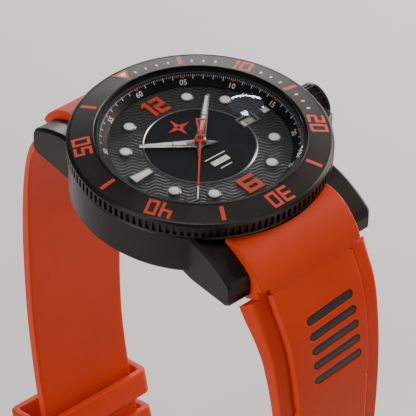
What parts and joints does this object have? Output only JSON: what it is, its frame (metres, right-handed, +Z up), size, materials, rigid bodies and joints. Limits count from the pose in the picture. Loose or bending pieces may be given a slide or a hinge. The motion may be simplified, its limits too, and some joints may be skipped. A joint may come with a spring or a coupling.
{
  "type": "wristwatch",
  "caption": "Dive wristwatch with a rotating timing bezel, date magnifier, automatic movement, screw-type crown and a two-piece rubber strap with pin buckle.",
  "frame": {"origin": "centre of the case back's outer face, which rests on the wrist", "axes": "+Z up through the crystal, +Y towards 12 o'clock, +X towards 3 o'clock and the crown"},
  "size_m": [0.0483, 0.073, 0.1216],
  "materials": {
    "black_steel": "fine brushed, dark coated",
    "insert_black": "satin black",
    "inlay_orange": "satin orange enamel",
    "lume_white": "matt luminous paint",
    "dial_black": "satin black with wave relief",
    "disc_black": "gloss black lacquer",
    "steel_bright": "polished steel",
    "hand_grey": "brushed grey steel",
    "hand_orange": "gloss orange lacquer",
    "sapphire": "polished, clear",
    "gasket_black": "matt",
    "brass_gold": "satin gilt",
    "nickel": "fine grained nickel",
    "blued": "blued steel",
    "ruby": "polished ruby",
    "date_white": "matt white",
    "casing_grey": "moulded grey",
    "strap_orange": "matt moulded rubber",
    "strap_black": "satin black rubber",
    "rotor_dark": "striped"
  },
  "bodies": {
    "case": {"case_body": "black_steel", "back_ring": "black_steel", "back_glass": "sapphire", "crystal": "sapphire", "cyclops": "sapphire", "crystal_gasket": "gasket_black", "click_spring": "steel_bright", "bezel_gasket": "gasket_black", "rehaut": "dial_black", "dial": "dial_black", "dial_disc": "disc_black", "dial_trim": "steel_bright", "marker_rims": "steel_bright", "marker_lume": "lume_white", "numerals": "inlay_orange", "dial_star": "inlay_orange", "main_plate": "nickel", "barrel_bridge": "nickel", "train_bridge": "nickel", "balance_cock": "nickel", "bridge_screws": "blued", "jewels": "ruby", "rotor_post": "steel_bright", "casing_ring": "casing_grey", "crown_tube": "steel_bright", "spring_bars": "steel_bright", "hairspring": "blued"},
    "bezel": {"bezel_ring": "black_steel", "bezel_insert": "insert_black", "bezel_inlays": "inlay_orange", "bezel_marks": "lume_white"},
    "hour": {"hour_wheel": "brass_gold", "hour_hand": "hand_grey", "hour_hand_lume": "lume_white"},
    "minute": {"centre_wheel": "brass_gold", "cannon_pinion": "steel_bright", "minute_hand": "hand_grey", "minute_hand_lume": "lume_white"},
    "minute_work": {"minute_wheel": "brass_gold"},
    "seconds": {"fourth_wheel": "brass_gold", "second_hand": "hand_orange"},
    "third": {"third_wheel": "brass_gold"},
    "barrel": {"barrel": "brass_gold"},
    "escape": {"escape_wheel": "steel_bright"},
    "pallet": {"pallet_fork": "steel_bright"},
    "balance": {"balance_wheel": "brass_gold"},
    "rotor": {"rotor": "rotor_dark"},
    "date": {"date_wheel": "date_white"},
    "clutch": {"clutch": "steel_bright"},
    "crown": {"crown": "black_steel", "stem": "steel_bright"},
    "strap_12": {"strap_12": "strap_orange", "strap_12_inlays": "strap_black", "buckle_bar": "steel_bright"},
    "strap_6": {"strap_6": "strap_orange", "strap_6_inlays": "strap_black"},
    "keeper": {"keeper": "strap_orange"},
    "buckle": {"buckle_frame": "black_steel"},
    "tang": {"buckle_tang": "black_steel"}
  },
  "joints": [
    {"name": "bezel_turn", "type": "hinge", "parent": "case", "child": "bezel", "pos_m": [0, 0, 0.012], "axis": [0, 0, -1], "continuous": true},
    {"name": "minute_turn", "type": "hinge", "parent": "case", "child": "minute", "pos_m": [0, 0, 0.011], "axis": [0, 0, -1], "continuous": true},
    {"name": "hour_turn", "type": "hinge", "parent": "case", "child": "hour", "pos_m": [0, 0, 0.011], "axis": [0, 0, -1], "continuous": true},
    {"name": "minute_work_turn", "type": "hinge", "parent": "case", "child": "minute_work", "pos_m": [0.0023, -0.00122, 0.0102], "axis": [0, 0, -1], "continuous": true},
    {"name": "second_turn", "type": "hinge", "parent": "case", "child": "seconds", "pos_m": [0, 0, 0.011], "axis": [0, 0, -1], "continuous": true},
    {"name": "third_turn", "type": "hinge", "parent": "case", "child": "third", "pos_m": [-0.00422, -0.00052, 0.008], "axis": [0, 0, -1], "continuous": true},
    {"name": "barrel_turn", "type": "hinge", "parent": "case", "child": "barrel", "pos_m": [0.00297, 0.00514, 0.008], "axis": [0, 0, -1], "continuous": true},
    {"name": "escape_turn", "type": "hinge", "parent": "case", "child": "escape", "pos_m": [-0.00132, -0.00364, 0.008], "axis": [0, 0, -1], "continuous": true},
    {"name": "pallet_swing", "type": "hinge", "parent": "case", "child": "pallet", "pos_m": [0.00046, -0.00592, 0.008], "axis": [0, 0, -1], "range_deg": [-5, 5]},
    {"name": "balance_swing", "type": "hinge", "parent": "case", "child": "balance", "pos_m": [0.002, -0.0079, 0.008], "axis": [0, 0, -1], "range_deg": [-150, 150]},
    {"name": "rotor_spin", "type": "hinge", "parent": "case", "child": "rotor", "pos_m": [0, 0, 0.005], "axis": [0, 0, 1], "continuous": true},
    {"name": "date_turn", "type": "hinge", "parent": "case", "child": "date", "pos_m": [0, 0, 0.0103], "axis": [0, 0, -1], "continuous": true},
    {"name": "stem_turn", "type": "hinge", "parent": "case", "child": "clutch", "pos_m": [0.009, 0, 0.0069], "axis": [1, 0, 0], "continuous": true},
    {"name": "crown_pull", "type": "slide", "parent": "clutch", "child": "crown", "axis": [1, 0, 0], "range_m": [0, 0.0015]},
    {"name": "strap_12_swing", "type": "hinge", "parent": "case", "child": "strap_12", "pos_m": [0, 0.0232, 0.0036], "axis": [1, 0, 0], "range_deg": [-6, 2]},
    {"name": "strap_6_swing", "type": "hinge", "parent": "case", "child": "strap_6", "pos_m": [0, -0.0232, 0.0036], "axis": [-1, 0, 0], "range_deg": [-6, 2]},
    {"name": "keeper_slide", "type": "slide", "parent": "strap_12", "child": "keeper", "axis": [0, 0.256, 0.9667], "range_m": [-0.002, 0.005]},
    {"name": "buckle_swing", "type": "hinge", "parent": "strap_12", "child": "buckle", "pos_m": [0, 0.02469, -0.08775], "axis": [1, 0, 0], "range_deg": [-50, 22]},
    {"name": "tang_swing", "type": "hinge", "parent": "buckle", "child": "tang", "pos_m": [0, 0.02469, -0.08775], "axis": [1, 0, 0], "range_deg": [0, 75]}
  ],
  "couplings": [
    {"joint": "hour_turn", "follows": "minute_turn", "ratio": 0.083333},
    {"joint": "minute_work_turn", "follows": "minute_turn", "ratio": -0.33333},
    {"joint": "second_turn", "follows": "minute_turn", "ratio": 60},
    {"joint": "third_turn", "follows": "minute_turn", "ratio": -8},
    {"joint": "barrel_turn", "follows": "minute_turn", "ratio": -0.125},
    {"joint": "escape_turn", "follows": "minute_turn", "ratio": -720}
  ]
}
